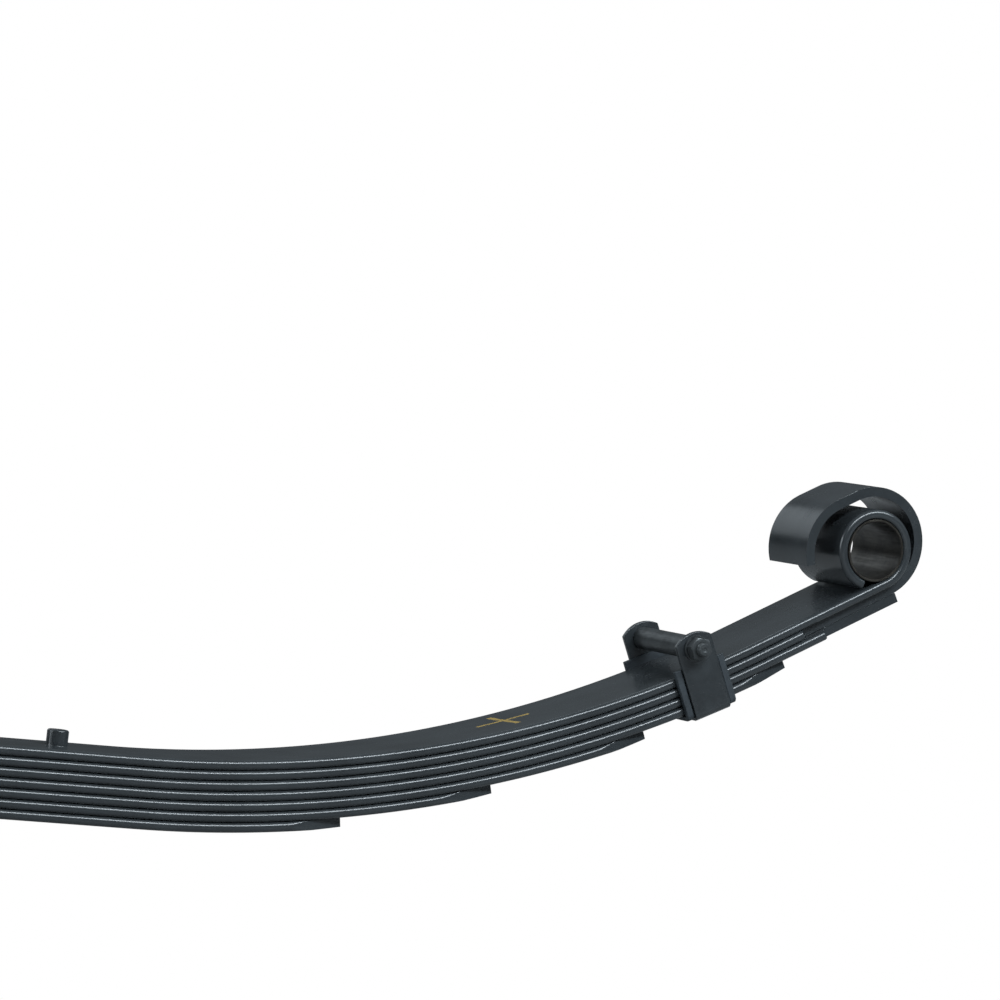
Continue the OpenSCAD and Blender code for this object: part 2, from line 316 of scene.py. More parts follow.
# %% [markdown]
# ## The leaves
# A leaf is flat bar stock with mill-rounded edges, sheared to length, bent to a radius, and rolled at the end.
# So it is one section swept along one path, which is exactly what a Geometry Nodes sweep does: a path of points
# goes in, a rounded bar comes out. The path is drawn lying in the XY plane, where a curve's own Z-up normal
# never flips, even round the full turn of an eye, and the finished bar is stood up at the end. A trimmed end is
# a bar whose sides are pressed in to the half width that each path point carries, which leaves the flat,
# sharp-edged side of a shear cut where the stock was rounded.

# %% The sweep
def leaf_sweep():
    tree = bpy.data.node_groups.new("leaf_sweep", "GeometryNodeTree")
    face = tree.interface
    face.new_socket("Path", in_out="INPUT", socket_type="NodeSocketGeometry")
    for label in ("Thickness", "Width", "Edge radius"):
        face.new_socket(label, in_out="INPUT", socket_type=FLOAT)
    face.new_socket("Finish", in_out="INPUT", socket_type="NodeSocketMaterial")
    face.new_socket("Bar", in_out="OUTPUT", socket_type="NodeSocketGeometry")
    given, out = tree.nodes.new("NodeGroupInput"), tree.nodes.new("NodeGroupOutput")
    rail = add(tree, "GeometryNodeMeshToCurve", {"Mesh": given.outputs["Path"]})
    rail = add(tree, "GeometryNodeSetCurveNormal", {"Curve": rail.outputs[0]}, mode="Z_UP")
    stock = add(tree, "GeometryNodeCurvePrimitiveQuadrilateral",
                {"Width": given.outputs["Thickness"], "Height": given.outputs["Width"]})
    stock = add(tree, "GeometryNodeFilletCurve",
                {"Curve": stock.outputs[0], "Count": 5, "Radius": given.outputs["Edge radius"],
                 "Limit Radius": True}, mode="POLY")
    at = add(tree, "ShaderNodeSeparateXYZ", {0: tree.nodes.new("GeometryNodeInputPosition").outputs[0]})
    stock = add(tree, "GeometryNodeStoreNamedAttribute",
                {"Geometry": stock.outputs[0], "Name": "through", "Value": at.outputs["X"]},
                data_type="FLOAT", domain="POINT")
    bar = add(tree, "GeometryNodeCurveToMesh",
              {"Curve": rail.outputs[0], "Profile Curve": stock.outputs[0], "Fill Caps": True})

    def read(label):
        return add(tree, "GeometryNodeInputNamedAttribute", {"Name": label}, data_type="FLOAT").outputs[0]

    half = read("half")
    low = add(tree, "ShaderNodeMath", {0: half, 1: -1.0}, operation="MULTIPLY")
    pressed = add(tree, "ShaderNodeClamp", {"Value": at.outputs["Z"], "Min": low.outputs[0], "Max": half})
    moved = add(tree, "ShaderNodeCombineXYZ",
                {"X": at.outputs["X"], "Y": at.outputs["Y"], "Z": pressed.outputs[0]})
    bar = add(tree, "GeometryNodeSetPosition", {"Geometry": bar.outputs[0], "Position": moved.outputs[0]})
    flipped = add(tree, "ShaderNodeMath", {0: at.outputs["Z"], 1: -1.0}, operation="MULTIPLY")
    flat = add(tree, "ShaderNodeCombineXYZ", {"X": read("run"), "Y": flipped.outputs[0], "Z": read("through")})
    bar = add(tree, "GeometryNodeStoreNamedAttribute",
              {"Geometry": bar.outputs[0], "Name": "laid_flat", "Value": flat.outputs[0]},
              data_type="FLOAT_VECTOR", domain="POINT")
    bar = add(tree, "GeometryNodeTransform", {"Geometry": bar.outputs[0], "Rotation": (math.pi / 2, 0.0, 0.0)})
    bar = add(tree, "GeometryNodeMergeByDistance", {"Geometry": bar.outputs[0], "Distance": 0.00001})
    bar = add(tree, "GeometryNodeRealizeInstances", {"Geometry": bar.outputs[0]})
    bar = add(tree, "GeometryNodeSetMaterial", {"Geometry": bar.outputs[0], "Material": given.outputs["Finish"]})
    tree.links.new(bar.outputs[0], out.inputs[0])
    return tree


LEAF_SWEEP = leaf_sweep()
print("sweep tree:", len(LEAF_SWEEP.nodes), "nodes")


# %% [markdown]
# ### The paths
# Points sit 4 mm apart along the bend, and 3 degrees apart round an eye. The main leaf rolls up and over its
# eye. The second leaf, the wrapper, goes round outside it with room to move, and stops after half a turn and a
# bit. The others end straight.

# %% Paths of the leaves
STEP, ROLL_STEP = 4 * MM, math.radians(3)


def samples(start, end, step):
    count = max(1, math.ceil(abs(end - start) / step))
    return [start + (end - start) * i / count for i in range(count + 1)]


def half_width(leaf, run):
    """Half the width of a leaf at a length along it."""
    if leaf == 0:
        return LEAF_W / 2
    start, length = (NECK_START[leaf], NECK_LEN) if leaf in NECK_START else (TIPS[leaf] - TRIM_LEN, TRIM_LEN)
    share = min(1.0, max(0.0, (run - start) / length))
    return LEAF_W / 2 + (TRIM_W - LEAF_W) / 2 * share


def leaf_path(leaf):
    """Points of one half of a leaf as (x, z, length along it, half width)."""
    end = {0: EYE_AT, 1: EYE_AT + WRAP_OUT}.get(leaf) or TIPS[leaf]
    breaks = sorted({0.0, SEAT, min(end, SEAT + BENT_LEN), end}
                    | ({NECK_START[leaf], NECK_START[leaf] + NECK_LEN} if leaf in NECK_START else set())
                    | ({end - TRIM_LEN} if leaf > 2 else set()))
    runs = [0.0]
    for a, b in zip(breaks, breaks[1:]):
        runs += samples(a, b, STEP)[1:]
    path = [(*point_at(run, -leaf * PITCH), run, half_width(leaf, run)) for run in runs]
    bends = {0: [(0.0, 0.0, ROLL_R, -math.pi / 2, ROLL_END)],
             1: [(WRAP_OUT, WRAP_UP, WRAP_R, -math.pi / 2, math.pi / 2),
                 (WRAP_IN, WRAP_UP, WRAP_R, math.pi / 2, WRAP_END)]}.get(leaf, [])
    for across, up, radius, first, last in bends:
        for turn in samples(first, last, ROLL_STEP)[0 if across == WRAP_IN else 1:]:
            x, z = at_eye(across + radius * math.cos(turn), up + radius * math.sin(turn))
            run = path[-1][2] + math.dist((x, z), path[-1][:2])
            path.append((x, z, run, path[-1][3]))
    return path


def path_mesh(points, side):
    """The path as a line of edges in the XY plane, with what each point carries."""
    mesh = bpy.data.meshes.new("path")
    mesh.from_pydata([(side * x, z, 0.0) for x, z, _, _ in points],
                     [(i, i + 1) for i in range(len(points) - 1)], [])
    for label, values in (("run", [side * p[2] for p in points]), ("half", [p[3] for p in points])):
        mesh.attributes.new(label, "FLOAT", "POINT").data.foreach_set("value", values)
    return mesh


# %% [markdown]
# ### Baking and dressing a mesh
# A finished piece has small broken edges, because a perfectly sharp edge catches no light. The bevel leaves
# out the cut at the middle of the spring, where the two halves of a leaf meet. Weighted normals then keep the
# wide faces flat, so that only the rounded edges shade round.

# %% Broken edges, shading and baking
SHARP = math.radians(32)
BOLT_ZONE = 20 * MM


def break_edges(mesh, size, corner=math.radians(50), steps=2):
    bm = bmesh.new()
    bm.from_mesh(mesh)
    bmesh.ops.recalc_face_normals(bm, faces=bm.faces)
    edges = [e for e in bm.edges if len(e.link_faces) == 2 and e.calc_face_angle(0.0) > corner
             and min(abs(v.co.x) for v in e.verts) > BOLT_ZONE]
    if size > 0 and edges:
        bmesh.ops.bevel(bm, geom=edges, offset=size, segments=steps, profile=0.5, affect="EDGES",
                        clamp_overlap=True)
    bmesh.ops.remove_doubles(bm, verts=bm.verts, dist=1e-7)
    bmesh.ops.dissolve_degenerate(bm, edges=bm.edges, dist=1e-7)
    bm.to_mesh(mesh)
    bm.free()


def evaluated(obj):
    """The object's mesh with its modifiers applied."""
    graph = bpy.context.evaluated_depsgraph_get()
    mesh = bpy.data.meshes.new_from_object(obj.evaluated_get(graph), preserve_all_data_layers=True,
                                           depsgraph=graph)
    obj.modifiers.clear()
    return mesh


def dress(name, mesh, material, edge=0.3 * MM, sharp=SHARP):
    """A finished object from a mesh: broken edges, weighted normals and one material."""
    break_edges(mesh, edge)
    mesh.materials.clear()
    mesh.materials.append(material)
    mesh.shade_smooth()
    mesh.set_sharp_from_angle(angle=sharp)
    obj = bpy.data.objects.new(name, mesh)
    bpy.context.scene.collection.objects.link(obj)
    weigh = obj.modifiers.new("weigh", "WEIGHTED_NORMAL")
    weigh.keep_sharp = True
    obj.data = evaluated(obj)
    obj.data.name = name
    return obj


# %% Rings to a mesh
def ring_mesh(name, rings, loop=False):
    """A closed mesh from rings with the same number of points. A loop of rings joins its last to its first."""
    bm = bmesh.new()
    rows = [[bm.verts.new(p) for p in ring] for ring in rings]
    count = len(rows[0])
    pairs = list(zip(rows, rows[1:])) + ([(rows[-1], rows[0])] if loop else [])
    for lower, upper in pairs:
        for i in range(count):
            j = (i + 1) % count
            bm.faces.new((lower[i], lower[j], upper[j], upper[i]))
    if not loop:
        for row in (rows[0], rows[-1]):
            middle = bm.verts.new(sum((v.co for v in row), Vector()) / count)
            for i in range(count):
                bm.faces.new((row[i], row[(i + 1) % count], middle))
    bmesh.ops.recalc_face_normals(bm, faces=bm.faces)
    mesh = bpy.data.meshes.new(name)
    bm.to_mesh(mesh)
    bm.free()
    return mesh


def ring(radius, height, steps):
    """One ring about Z. The radius is a number or a function of the angle and height."""
    points = []
    for i in range(steps):
        turn = 2 * math.pi * i / steps
        r = radius(turn, height) if callable(radius) else radius
        points.append(Vector((r * math.cos(turn), r * math.sin(turn), height)))
    return points


def turned(name, outline, steps=72, loop=False):
    """A turned part from (radius, height) pairs."""
    return ring_mesh(name, [ring(r, h, steps) for r, h in outline], loop)


def placed(mesh, matrix):
    mesh.transform(matrix)
    if matrix.determinant() < 0:
        mesh.flip_normals()
    return mesh


# %% Drilling
def bored(mesh, cutters):
    """The mesh with cutter meshes taken out of it."""
    obj = bpy.data.objects.new("blank", mesh)
    bpy.context.scene.collection.objects.link(obj)
    tools = []
    for cutter in cutters:
        tool = bpy.data.objects.new("cutter", cutter)
        bpy.context.scene.collection.objects.link(tool)
        cut = obj.modifiers.new("cut", "BOOLEAN")
        cut.object, cut.operation, cut.solver = tool, "DIFFERENCE", "EXACT"
        tools.append(tool)
    result = evaluated(obj)
    for spent in tools + [obj]:
        bpy.data.objects.remove(spent)
    return result


def drill(radius, low, high, matrix=Matrix(), steps=48):
    """A round cutter about the Z axis of a matrix."""
    return placed(turned("drill", [(radius, low), (radius, high)], steps), matrix)


# %% Build the seven leaves, each as two halves
NUT_TOP = -LEAF_T - 6 * PITCH
HOLE_R, SEAT_WIDE, SEAT_SLOPE, SEAT_DEPTH = 5.1 * MM, 11.15 * MM, 0.7, 5.15 * MM
DRILL_FROM, DRILL_TO = -100 * MM, 10 * MM


def build_leaf(leaf, half, side):
    line = bpy.data.objects.new("line", path_mesh(leaf_path(leaf), side))
    bpy.context.scene.collection.objects.link(line)
    sweep = line.modifiers.new("sweep", "NODES")
    sweep.node_group = LEAF_SWEEP
    paint = MARKED_PAINT if (leaf, side) == (0, 1) else LEAF_PAINT
    sizes = {"Thickness": LEAF_T, "Width": LEAF_W, "Edge radius": MILL_EDGE, "Finish": paint}
    for item in LEAF_SWEEP.interface.items_tree:
        if item.in_out == "INPUT" and item.name in sizes:
            sweep[item.identifier] = sizes[item.name]
    mesh = evaluated(line)
    bpy.data.objects.remove(line)
    holes = [drill(HOLE_R, DRILL_FROM, DRILL_TO)]
    if leaf == 6:
        holes.append(turned("countersink", [(SEAT_WIDE + SEAT_SLOPE * MM, NUT_TOP - 1 * MM),
                                            (SEAT_WIDE - SEAT_SLOPE * SEAT_DEPTH, NUT_TOP + SEAT_DEPTH)], 96))
    mesh = bored(mesh, holes)
    obj = dress(f"{half}_half_of_{LEAF_NAMES[leaf]}_leaf", mesh, paint, 0.35 * MM)
    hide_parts(f"{LEAF_NAMES[leaf]}_leaf")
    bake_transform(obj)
    return obj


for leaf in range(7):
    for half, side in HALVES.items():
        made = build_leaf(leaf, half, side)
        print(made.name, len(made.data.polygons), "faces")

# %% [markdown]
# ## Turned and pressed fittings
# Bolts, nuts, washers, the rivet and the sleeves are round or hexagonal, so each is a stack of rings round one
# axis. A ring's radius may change with the angle: that gives a hexagon, whose corners are cut by a chamfer
# cone, and a thread, whose crest climbs one pitch for each turn.

# %% Rounded corner
def rounded(radius, height, size, start=0, end=90, steps=5):
    """Points of a rounded corner inside (radius, height), swept from start to end degrees."""
    return [(radius - size + size * math.cos(math.radians(start + (end - start) * i / steps)),
             height - size + size * math.sin(math.radians(start + (end - start) * i / steps)))
            for i in range(steps + 1)]


# %% Hexagons and threads
# The chamfer of a hexagon starts at a circle a little smaller than the flats.
HEX_CHAMFER, HEX_FACE = math.radians(30), 0.97
# Depth of a thread in pitches, how steeply its groove closes, and how many rings draw one turn of it.
THREAD_DEPTH, FLANK, RINGS_A_TURN = 0.54, 2.6, 8


def hex_radius(across_flats, turn):
    return across_flats / 2 / math.cos((turn + math.pi / 6) % (math.pi / 3) - math.pi / 6)


def hexagon_rings(across_flats, low, high, steps=72, both=True):
    """Rings of a hexagon whose corners are chamfered at 30 degrees, at the top or at both ends."""
    slope = math.tan(HEX_CHAMFER)
    inner = across_flats / 2 * HEX_FACE

    def chamfer(at, way):
        return [Vector((p.x, p.y, at - way * max(0.0, math.hypot(p.x, p.y) - inner) * slope))
                for p in ring(lambda turn, _: hex_radius(across_flats, turn), at, steps)]

    start = [ring(inner, low, steps), chamfer(low, -1)] if both else [
        ring(lambda turn, _: hex_radius(across_flats, turn), low, steps)]
    return start + [chamfer(high, 1), ring(inner, high, steps)]


def thread_rings(diameter, pitch, low, high, steps=48, chamfer=True):
    """Rings of a threaded end. Its crest climbs a pitch each turn, and the end is chamfered."""
    depth = THREAD_DEPTH * pitch

    def radius(turn, height):
        phase = (height / pitch - turn / (2 * math.pi)) % 1.0
        cut = depth * (1 - min(1.0, abs(phase - 0.5) * FLANK))
        end = max(0.0, height - (high - depth)) if chamfer else 0.0
        return min(diameter / 2 - max(0.0, cut), diameter / 2 - end)

    count = max(2, round((high - low) / pitch * RINGS_A_TURN))
    return [ring(radius, low + (high - low) * i / count, steps) for i in range(count + 1)]


# %% [markdown]
# ### The centre bolt and its nut
# The bolt holds the pack together, and its round head stands on the main leaf as the dowel that finds the
# axle seat. The head is turned, with a well-rounded rim, and its foot sits in a thick line of paint. The nut is
# a countersunk one, let into the lowest leaf so that the underside stays clear, and two blind holes take a pin
# spanner.

# %% Centre bolt and nut
DOWEL_R, DOWEL_H, SHANK_R = 6.5 * MM, 9.5 * MM, 5 * MM
NUT_WIDE, NUT_NARROW, NUT_H, PIN_HOLE = 11 * MM, 7.5 * MM, 5 * MM, 1.3 * MM


def centre_bolt_mesh():
    end = -NUT_TOP - 0.3 * MM
    tail = [[Vector((p.x, p.y, -p.z)) for p in row]
            for row in thread_rings(2 * SHANK_R, 1.5 * MM, end - 8 * MM, end)]
    head = [(SHANK_R, -0.4 * MM), (DOWEL_R - 0.2 * MM, -0.02 * MM), (DOWEL_R + 0.15 * MM, 0.0),
            (DOWEL_R, 0.35 * MM)] + rounded(DOWEL_R, DOWEL_H, 1.3 * MM) + [(2.5 * MM, DOWEL_H + 0.05 * MM)]
    return ring_mesh("centre_bolt", tail[::-1] + [ring(r, h, 48) for r, h in head])


def finished(name, mesh, material, node, body, edge=0.0):
    """Dresses a mesh, and says which body it rides on and which solid it stands for."""
    obj = dress(name, mesh, material, edge)
    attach(obj, body)
    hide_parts(node)
    print(name, len(obj.data.polygons), "faces on", body)
    return obj


finished("dowel_headed_centre_bolt", centre_bolt_mesh(), FITTING_PAINT, "centre_bolt", "centre")


def nut_mesh(across_flats, height, bore_r):
    """A nut about Z from 0 to height: hexagon outside, countersunk plain bore inside."""
    steps, sink = 72, 0.6 * MM
    inside = [ring(r, h, steps) for r, h in ((bore_r + sink, height), (bore_r, height - sink), (bore_r, sink),
                                             (bore_r + sink, 0.0))]
    return ring_mesh("nut", hexagon_rings(across_flats, 0.0, height, steps) + inside, loop=True)


def flush_nut_mesh():
    bore = SHANK_R - 0.45 * MM
    blank = turned("nut", [(NUT_WIDE - 0.3 * MM, 0.0), (NUT_WIDE - 0.05 * MM, 0.3 * MM), (NUT_NARROW, NUT_H),
                           (bore, NUT_H), (bore, 0.5 * MM), (SHANK_R, 0.0)], 96, loop=True)
    holes = [drill(PIN_HOLE, -1 * MM, 2 * MM, Matrix.Translation((side * 7.6 * MM, 0, 0)), 24)
             for side in HALVES.values()]
    return placed(bored(blank, holes), Matrix.Translation((0, 0, NUT_TOP)))


finished("flush_centre_nut", flush_nut_mesh(), FITTING_PAINT, "centre_nut", "centre")

# %% [markdown]
# ### The eye sleeves
# A thin steel sleeve is pressed into each rolled eye for the bush to turn in. It is a tube cut from drawn
# stock, chamfered at both ends, inside and outside, and left bare.

# %% Eye sleeves
SLEEVE_OUT, SLEEVE_BORE, SLEEVE_LEN = 19.45 * MM, 18 * MM, 62.5 * MM


def tube_outline(outer, bore, length, chamfer):
    h, c = length / 2, chamfer
    return [(bore + c, -h), (outer - c, -h), (outer, -h + c), (outer, h - c), (outer - c, h), (bore + c, h),
            (bore, h - c), (bore, -h + c)]


def half_frame(run, lift, side):
    """Matrix from a frame lying along the leaf (X along, Y across, Z square to it) to the spring's frame."""
    x, z = point_at(run, lift)
    place = Matrix.Translation((x, 0, z)) @ Matrix.Rotation(-turn_at(run), 4, "Y")
    return Matrix.Scale(side, 4, (1, 0, 0)) @ place


TO_NEAR, TO_FAR = Matrix.Rotation(math.pi / 2, 4, "X"), Matrix.Rotation(-math.pi / 2, 4, "X")
for half, side in HALVES.items():
    sleeve = turned("sleeve", tube_outline(SLEEVE_OUT, SLEEVE_BORE, SLEEVE_LEN, 0.35 * MM), 120, loop=True)
    finished(f"{half}_pressed_sleeve", placed(sleeve, half_frame(EYE_AT, ROLL_R, side) @ TO_NEAR),
             SLEEVE_STEEL, f"{half}_eye_sleeve", f"{half}_arm")

# %% [markdown]
# ### The rebound clips
# A clip is a strap folded into a U round the first four leaves, over a moulded liner that stops it rattling. A
# bolt through the ears, with a spacer tube between them, closes it, and a rivet through the fourth leaf holds
# it in place. Strap and liner are each one folded strip: columns of points across the strip, each with its own
# inner and outer offset, are carried round the fold, so that rolled edges and the liner's lips come with them.

# %% Folded strips
STRAP_IN, STRAP_BOTTOM, STRAP_T, STRAP_W = 33.55 * MM, 23.4 * MM, 3 * MM, 25 * MM
LINER_IN, LINER_BOTTOM, LINER_T, LINER_W, LINER_TOP = 32.05 * MM, 21.9 * MM, 1.5 * MM, 35 * MM, 7.5 * MM
EAR_CORNER, EAR_ARCH = 22.4 * MM, 4.7 * MM
EAR_OUT = STRAP_IN + STRAP_T
BOLT_UP = 17.2 * MM
# Where a strip has cross-rows: heights up the ear as shares of it, degrees of the fold, rows in a rounded top.
EAR_SHARES, FOLD_STEP, TOP_STEPS = [0.0, 0.15, 0.3, 0.45, 0.6, 0.75, 0.9], 9, 4
# A rounded top may take away this part of the thickness from each face, as 1 over the number.
MOST_PINCH = 2.2


def rim(half, thick, size, steps=4):
    """Columns from a flat strip's edge inwards: (x, inner offset, outer offset), rounded by size."""
    columns = []
    for i in range(steps + 1):
        turn = math.pi / 2 * i / steps
        cut = size * (1 - math.sin(turn))
        columns.append((half - size * (1 - math.cos(turn)), cut, thick - cut))
    return columns


def fold_mesh(name, half_in, bottom, fold_r, columns, top, top_round):
    """A strip folded into a U. Columns are (x, inner offset, outer offset), and top gives the ear's height."""
    low = -bottom + fold_r
    quarter = [math.pi / 2 * i / TOP_STEPS for i in range(TOP_STEPS + 1)]
    stations = [("ear", 1.0, top_round * (1 - math.cos(turn)), top_round * (1 - math.sin(turn)))
                for turn in quarter]
    stations += [("ear", share, 0.0, 0.0) for share in EAR_SHARES[::-1]]
    corner = [math.radians(FOLD_STEP * i) for i in range(1, round(90 / FOLD_STEP))]

    def station(kind, x, inner, outer, side):
        """Inner and outer point of one column at one station on one side of the fold."""
        tag, share, drop, cut = kind
        if tag == "ear":
            z = low + share * (top(x) - low) - drop
            pinch = min(cut, (outer - inner) / MOST_PINCH)
            return [(x, side * (half_in + d), z) for d in (inner + pinch, outer - pinch)]
        y0, turn = half_in - fold_r, share
        return [(x, side * (y0 + (fold_r + d) * math.cos(turn)), low - (fold_r + d) * math.sin(turn))
                for d in (inner, outer)]

    order = [(s, -1) for s in stations] + [(("fold", a, 0, 0), -1) for a in corner]
    order += [(("fold", a, 0, 0), 1) for a in corner[::-1]] + [(s, 1) for s in stations[::-1]]
    bm = bmesh.new()
    rows = []
    for kind, side in order:
        inside, outside = [], []
        for x, inner, outer in columns:
            a, b = station(kind, x, inner, outer, side)
            inside.append(bm.verts.new(a))
            outside.append(bm.verts.new(b))
        rows.append(inside + outside[::-1])
    count = len(rows[0])
    for first, second in zip(rows, rows[1:]):
        for i in range(count):
            j = (i + 1) % count
            bm.faces.new((first[i], first[j], second[j], second[i]))
    wide = len(columns)
    for row in (rows[0], rows[-1]):
        for i in range(wide - 1):
            bm.faces.new((row[i], row[i + 1], row[count - 2 - i], row[count - 1 - i]))
    bmesh.ops.remove_doubles(bm, verts=bm.verts, dist=1e-7)
    bmesh.ops.recalc_face_normals(bm, faces=bm.faces)
    mesh = bpy.data.meshes.new(name)
    bm.to_mesh(mesh)
    bm.free()
    return mesh


def strip_columns(half, thick, size, inner_xs):
    """Columns of a strip with both edges rounded, and plain columns at inner_xs between them."""
    right = rim(half, thick, size)
    middle = [(x, 0.0, thick) for x in inner_xs if abs(x) < half - size - 1e-6]
    return sorted([(-x, a, b) for x, a, b in right] + middle + right)


def strap_mesh():
    xs = [STRAP_W * (i / 24 - 0.5) for i in range(25)]
    arch_r = ((STRAP_W / 2) ** 2 + EAR_ARCH ** 2) / (2 * EAR_ARCH)

    def top(x):
        return EAR_CORNER + EAR_ARCH - arch_r + math.sqrt(arch_r ** 2 - x ** 2)

    return fold_mesh("strap", STRAP_IN, STRAP_BOTTOM, 1.5 * MM, strip_columns(STRAP_W / 2, STRAP_T, 0.6 * MM, xs),
                     top, 0.6 * MM)


def liner_mesh():
    lip = LINER_T + 1.6 * MM
    start = STRAP_W / 2 + 0.4 * MM
    xs = [LINER_W / 2 - 0.4 * MM, LINER_W / 2]
    right = [(start - 0.1 * MM, 0.0, LINER_T), (start, 0.0, LINER_T), (start + 0.12 * MM, 0.0, lip - 0.3 * MM),
             (start + 0.5 * MM, 0.0, lip), (xs[0] - 0.2 * MM, 0.0, lip), (xs[0], 0.05 * MM, lip - 0.05 * MM),
             (xs[1], 0.4 * MM, lip - 0.5 * MM)]
    middle = [(x * MM, 0.0, LINER_T) for x in (-8, -4, 0, 4, 8)]
    columns = [(-x, a, b) for x, a, b in right[::-1]] + middle + right
    return fold_mesh("liner", LINER_IN, LINER_BOTTOM, 0.6 * MM, columns, lambda x: LINER_TOP, 0.4 * MM)


# %% Clip fittings
BOLT_R, BOLT_PITCH, BOLT_FLATS, HEAD_H = 4 * MM, 1.25 * MM, 13 * MM, 5.3 * MM
BOLT_PAST, THREAD_LEN = 12 * MM, 22 * MM
WASHER_IN, WASHER_OUT, WASHER_H, WASHER_EDGE = 4.2 * MM, 8 * MM, 1.6 * MM, 0.4 * MM
NUT_HIGH, NUT_BORE = 6.5 * MM, BOLT_R - 0.4 * MM
RIVET_DOME, RIVET_DOME_H, RIVET_R, RIVET_HEAD = 7 * MM, 3.5 * MM, 3.5 * MM, 3 * MM


def clip_bolt_mesh():
    """Bolt about Z: its head ends at 0, and the threaded end is at the far side of the near ear."""
    length = 2 * EAR_OUT + BOLT_PAST
    plain = length - THREAD_LEN
    head = hexagon_rings(BOLT_FLATS, -HEAD_H, 0.0, 48)
    shank = [ring(BOLT_R, 0.0, 48), ring(BOLT_R, plain, 48)]
    thread = thread_rings(2 * BOLT_R, BOLT_PITCH, plain + 0.01 * MM, length)
    centre_mark = [ring(1.6 * MM, length + 0.02 * MM, 48), ring(0.9 * MM, length - 0.5 * MM, 48)]
    return ring_mesh("clip_bolt", head + shank + thread + centre_mark)


def rivet_mesh():
    """Rivet about Z from its domed head below the strap to its flush head in the fourth leaf."""
    below = 0.3 * MM + LINER_T + STRAP_T
    dome = [(RIVET_DOME * math.sin(math.radians(a)), -below - RIVET_DOME_H * math.cos(math.radians(a)))
            for a in (4, 15, 30, 45, 60, 75, 88)]
    top = [(RIVET_R, -below), (RIVET_R, LEAF_T - RIVET_HEAD), (6.3 * MM, LEAF_T - 0.25 * MM),
           (6 * MM, LEAF_T - 0.2 * MM)]
    return turned("rivet", dome + top, 48)


SPACER_OUT, SPACER_BORE = 7 * MM, 4.2 * MM
CLIPPED_DEPTH = 3
for half, side in HALVES.items():
    here = half_frame(CLIP_AT, 0.0, side)
    up = here @ Matrix.Translation((0, 0, BOLT_UP))
    arm = f"{half}_arm"
    finished(f"{half}_folded_strap", placed(strap_mesh(), here), FITTING_PAINT,
             f"{half}_clip_strap", arm)
    finished(f"{half}_moulded_liner", placed(liner_mesh(), here), LINER, f"{half}_clip_liner", arm)
    spacer = turned("spacer", tube_outline(SPACER_OUT, SPACER_BORE, 2 * STRAP_IN, 0.5 * MM), 72, loop=True)
    finished(f"{half}_spacer_tube", placed(spacer, up @ TO_NEAR), CLIP_STEEL,
             f"{half}_clip_spacer", arm)
    finished(f"{half}_through_bolt", placed(clip_bolt_mesh(), up @ Matrix.Translation((0, EAR_OUT, 0)) @ TO_NEAR),
             CLIP_STEEL, f"{half}_clip_bolt", arm)
    washer = turned("washer", [(WASHER_IN, 0), (WASHER_OUT, 0), (WASHER_OUT, WASHER_H - WASHER_EDGE),
                               (WASHER_OUT - WASHER_EDGE, WASHER_H), (WASHER_IN, WASHER_H)], 72, loop=True)
    finished(f"{half}_plain_washer", placed(washer, up @ Matrix.Translation((0, -EAR_OUT, 0)) @ TO_NEAR),
             CLIP_STEEL, f"{half}_clip_washer", arm)
    nut = nut_mesh(BOLT_FLATS, NUT_HIGH, NUT_BORE)
    nut_at = up @ Matrix.Translation((0, -EAR_OUT - WASHER_H, 0))
    finished(f"{half}_bolt_nut", placed(nut, nut_at @ TO_NEAR), CLIP_STEEL, f"{half}_clip_nut", arm)
    rivet_at = here @ Matrix.Translation((0, 0, -CLIPPED_DEPTH * PITCH - LEAF_T / 2))
    finished(f"{half}_clip_fixing_rivet", placed(rivet_mesh(), rivet_at), CLIP_STEEL,
             f"{half}_clip_rivet", arm)

# %% [markdown]
# ## Floor, light and camera
# Dark satin steel is lit like glassware: what one sees is mostly what it reflects. A long strip high in front
# draws one thin line along every rounded leaf edge. The sky is nearly dark at the horizon and brighter
# overhead, so the sides read dark and the tops get a slow gradient. Two boxes fill the eye's left side and the
# back, and a last strip behind keeps the far edges from going black. Camera rays see a plain white floor and
# sky. The floor is clear from below, so that the underside can be looked at.

# %% Floor
stage_mesh = bpy.data.meshes.new("floor")
FLOOR_HALF, FLOOR_Z = 60.0, -0.062
stage_mesh.from_pydata([(x, y, FLOOR_Z) for x, y in ((-FLOOR_HALF, -FLOOR_HALF), (FLOOR_HALF, -FLOOR_HALF),
                                                     (FLOOR_HALF, FLOOR_HALF), (-FLOOR_HALF, FLOOR_HALF))],
                       [], [(0, 1, 2, 3)])
floor = bpy.data.objects.new("floor", stage_mesh)
bpy.context.scene.collection.objects.link(floor)
floor_material, floor_tree, floor_shader = start_material("pale_floor", 0.0, 0.0)
floor_shader.inputs["Base Color"].default_value = (0.35, 0.35, 0.35, 1.0)
floor_shader.inputs["Roughness"].default_value = 1.0
seen = add(floor_tree, "ShaderNodeLightPath")
glow = add(floor_tree, "ShaderNodeEmission", {"Color": (1.0, 1.0, 1.0, 1.0), "Strength": 1.0})
blend = add(floor_tree, "ShaderNodeMixShader",
            {0: seen.outputs["Is Camera Ray"], 1: floor_shader.outputs[0], 2: glow.outputs[0]})
one_sided = add(floor_tree, "ShaderNodeMixShader",
                {0: add(floor_tree, "ShaderNodeNewGeometry").outputs["Backfacing"], 1: blend.outputs[0],
                 2: add(floor_tree, "ShaderNodeBsdfTransparent").outputs[0]})
floor_tree.links.new(one_sided.outputs[0], floor_tree.nodes["Material Output"].inputs["Surface"])
stage_mesh.materials.append(floor_material)

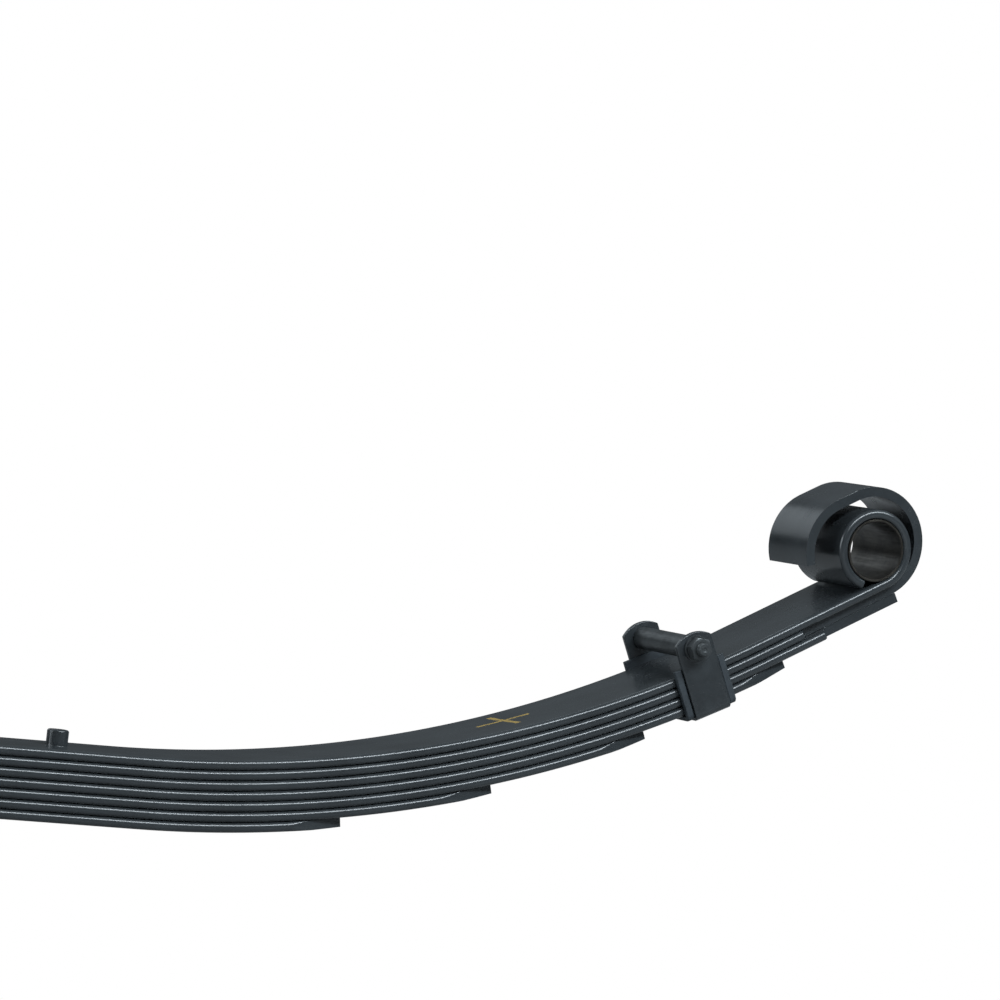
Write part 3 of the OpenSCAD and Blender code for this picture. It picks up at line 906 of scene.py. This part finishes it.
# %% World: white to the camera, and a soft grey sky to everything else
COOL = (0.90, 1.0, 1.07)
HORIZON, ZENITH = 0.03, 0.27


def studio_world():
    """A sky that is dim at the horizon and brighter overhead. The camera sees plain white instead."""
    world = bpy.data.worlds.new("studio")
    bpy.context.scene.world = world
    world.use_nodes = True
    sky = world.node_tree
    height = add(sky, "ShaderNodeSeparateXYZ", {0: add(sky, "ShaderNodeTexCoord").outputs["Generated"]})
    back = sky.nodes["Background"]
    back.inputs["Color"].default_value = (*COOL, 1.0)
    sky.links.new(spread(sky, height.outputs["Z"], 0.0, 0.8, HORIZON, ZENITH), back.inputs["Strength"])
    white = add(sky, "ShaderNodeBackground", {"Color": (1.0, 1.0, 1.0, 1.0), "Strength": 1.0})
    path = add(sky, "ShaderNodeLightPath")
    choose = add(sky, "ShaderNodeMixShader",
                 {0: path.outputs["Is Camera Ray"], 1: back.outputs[0], 2: white.outputs[0]})
    sky.links.new(choose.outputs[0], sky.nodes["World Output"].inputs["Surface"])


studio_world()


# %% Soft boxes
def soft_box(name, place, aim, size, radiance):
    """A rectangular lamp at a place, turned to face aim. Size is (wide, high) in metres."""
    lamp = bpy.data.lights.new(name, "AREA")
    lamp.shape = "RECTANGLE"
    lamp.size, lamp.size_y = size
    lamp.energy = radiance * math.pi * size[0] * size[1]
    lamp.color = COOL
    obj = bpy.data.objects.new(name, lamp)
    bpy.context.scene.collection.objects.link(obj)
    obj.rotation_euler = (Vector(aim) - Vector(place)).to_track_quat("-Z", "Y").to_euler()
    obj.location = place
    obj.visible_camera = False
    return obj


MIDDLE = (0.25, 0.0, 0.05)
# Each lamp: its place, its (wide, high) size, and its radiance.
LAMPS = {
    "edge_box": ((1.0, -2.1, 2.1), (3.4, 0.5), 26.0),
    "back_left_box": ((-0.5, 2.8, 1.2), (1.5, 1.4), 0.9),
    "left_box": ((-3.0, 0.3, 0.7), (1.6, 1.6), 7.0),
    "far_edge_box": ((-0.4, 2.2, 3.4), (3.0, 0.5), 2.5),
}
for name, (place, size, radiance) in LAMPS.items():
    soft_box(name, place, MIDDLE, size, radiance)

# %% Camera
# A long lens from the side, slightly above the eyes' height, tilted a little so that the spring climbs.
LOOK_AT, DISTANCE = Vector((0.27055, 0.0, 0.17026)), 3.7043
YAW, DIP, TILT = math.radians(26.3), math.radians(1.308), math.radians(-6.54)
towards = Vector((math.sin(YAW) * math.cos(DIP), math.cos(YAW) * math.cos(DIP), -math.sin(DIP)))
right = Vector((math.cos(YAW), -math.sin(YAW), 0.0))
upward = right.cross(towards)
camera_x = right * math.cos(TILT) - upward * math.sin(TILT)
camera_y = upward * math.cos(TILT) + right * math.sin(TILT)
lens = bpy.data.cameras.new("camera")
lens.sensor_width, lens.lens, lens.clip_end = 36.0, 219.78, 200.0
camera = bpy.data.objects.new("camera", lens)
bpy.context.scene.collection.objects.link(camera)
turned_to = Matrix((camera_x, camera_y, -towards)).transposed().to_4x4()
camera.matrix_world = Matrix.Translation(LOOK_AT - towards * DISTANCE) @ turned_to
bpy.context.scene.camera = camera
bpy.context.scene.view_settings.view_transform = "Standard"
print("camera at", [round(v, 3) for v in camera.matrix_world.translation])

# %% Bring the scene up to date, and the end
bpy.context.view_layer.update()
